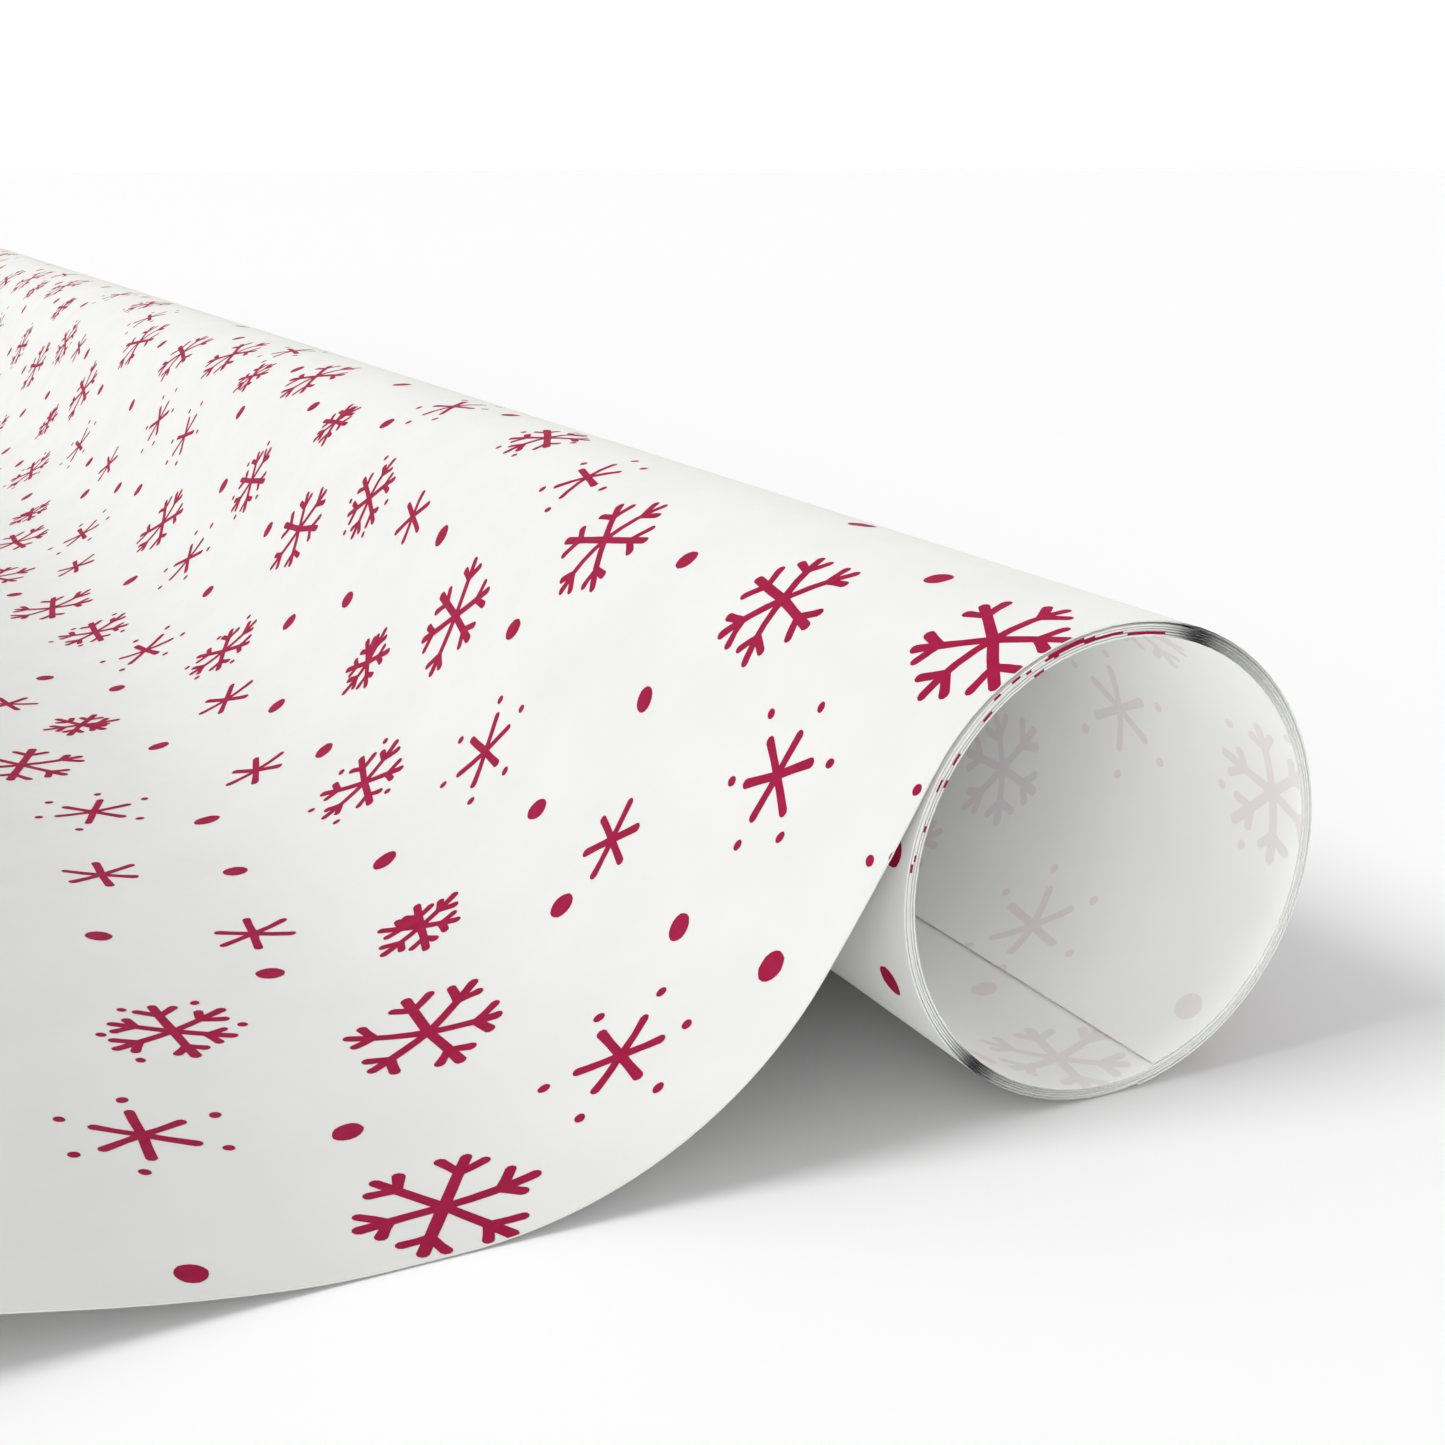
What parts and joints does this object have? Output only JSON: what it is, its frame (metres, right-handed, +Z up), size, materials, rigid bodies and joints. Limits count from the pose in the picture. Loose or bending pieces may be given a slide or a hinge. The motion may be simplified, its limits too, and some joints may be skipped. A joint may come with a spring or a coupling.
{
  "type": "wrapping paper roll",
  "caption": "Coreless roll of printed wrapping paper with a hollow middle and its free end draped off the top on to the table.",
  "frame": {"origin": "on the table, under the middle of the whole thing's length and width", "axes": "+X along the roll's axis towards the end that the picture shows, +Y from the free sheet towards the roll, +Z up"},
  "size_m": [0.762, 0.2545, 0.0398],
  "materials": {
    "printed_paper": "uncoated off-white paper, printed on one face in crimson"
  },
  "bodies": {
    "sheet": {"outer_lap": "printed_paper", "drape": "printed_paper", "table_stretch": "printed_paper"},
    "lift_part": {"lift_stretch": "printed_paper"},
    "edge_part": {"edge_stretch": "printed_paper"},
    "coil": {"turn_5": "printed_paper"},
    "layer_4": {"turn_4": "printed_paper"},
    "layer_3": {"turn_3": "printed_paper"},
    "layer_2": {"turn_2": "printed_paper"},
    "layer_1": {"turn_1": "printed_paper"},
    "inner_end": {"inner_lap": "printed_paper"}
  },
  "joints": [
    {"name": "coil_turn", "type": "hinge", "parent": "sheet", "child": "coil", "pos_m": [0, 0.10727, 0.01979], "axis": [1, 0, 0], "continuous": true},
    {"name": "slip_4", "type": "slide", "parent": "coil", "child": "layer_4", "axis": [1, 0, 0], "range_m": [0, 0.012]},
    {"name": "slip_3", "type": "slide", "parent": "layer_4", "child": "layer_3", "axis": [1, 0, 0], "range_m": [0, 0.012]},
    {"name": "slip_2", "type": "slide", "parent": "layer_3", "child": "layer_2", "axis": [1, 0, 0], "range_m": [0, 0.012]},
    {"name": "slip_1", "type": "slide", "parent": "layer_2", "child": "layer_1", "axis": [1, 0, 0], "range_m": [0, 0.012]},
    {"name": "inner_flap", "type": "hinge", "parent": "layer_1", "child": "inner_end", "pos_m": [0, 0.12537, 0.02464], "axis": [-1, 0, 0], "range_deg": [0, 45], "stiffness_Nm_per_rad": 0.0005},
    {"name": "sheet_lift", "type": "hinge", "parent": "sheet", "child": "lift_part", "pos_m": [0, 0.04684, 0.00012], "axis": [-1, 0, 0], "range_deg": [0, 40]},
    {"name": "edge_lift", "type": "hinge", "parent": "lift_part", "child": "edge_part", "pos_m": [0, -0.01522, 0.00967], "axis": [-1, 0, 0], "range_deg": [0, 30]}
  ],
  "couplings": [
    {"joint": "slip_3", "follows": "slip_4", "ratio": 1},
    {"joint": "slip_2", "follows": "slip_4", "ratio": 1},
    {"joint": "slip_1", "follows": "slip_4", "ratio": 1},
    {"joint": "edge_lift", "follows": "sheet_lift", "ratio": 0.75}
  ]
}
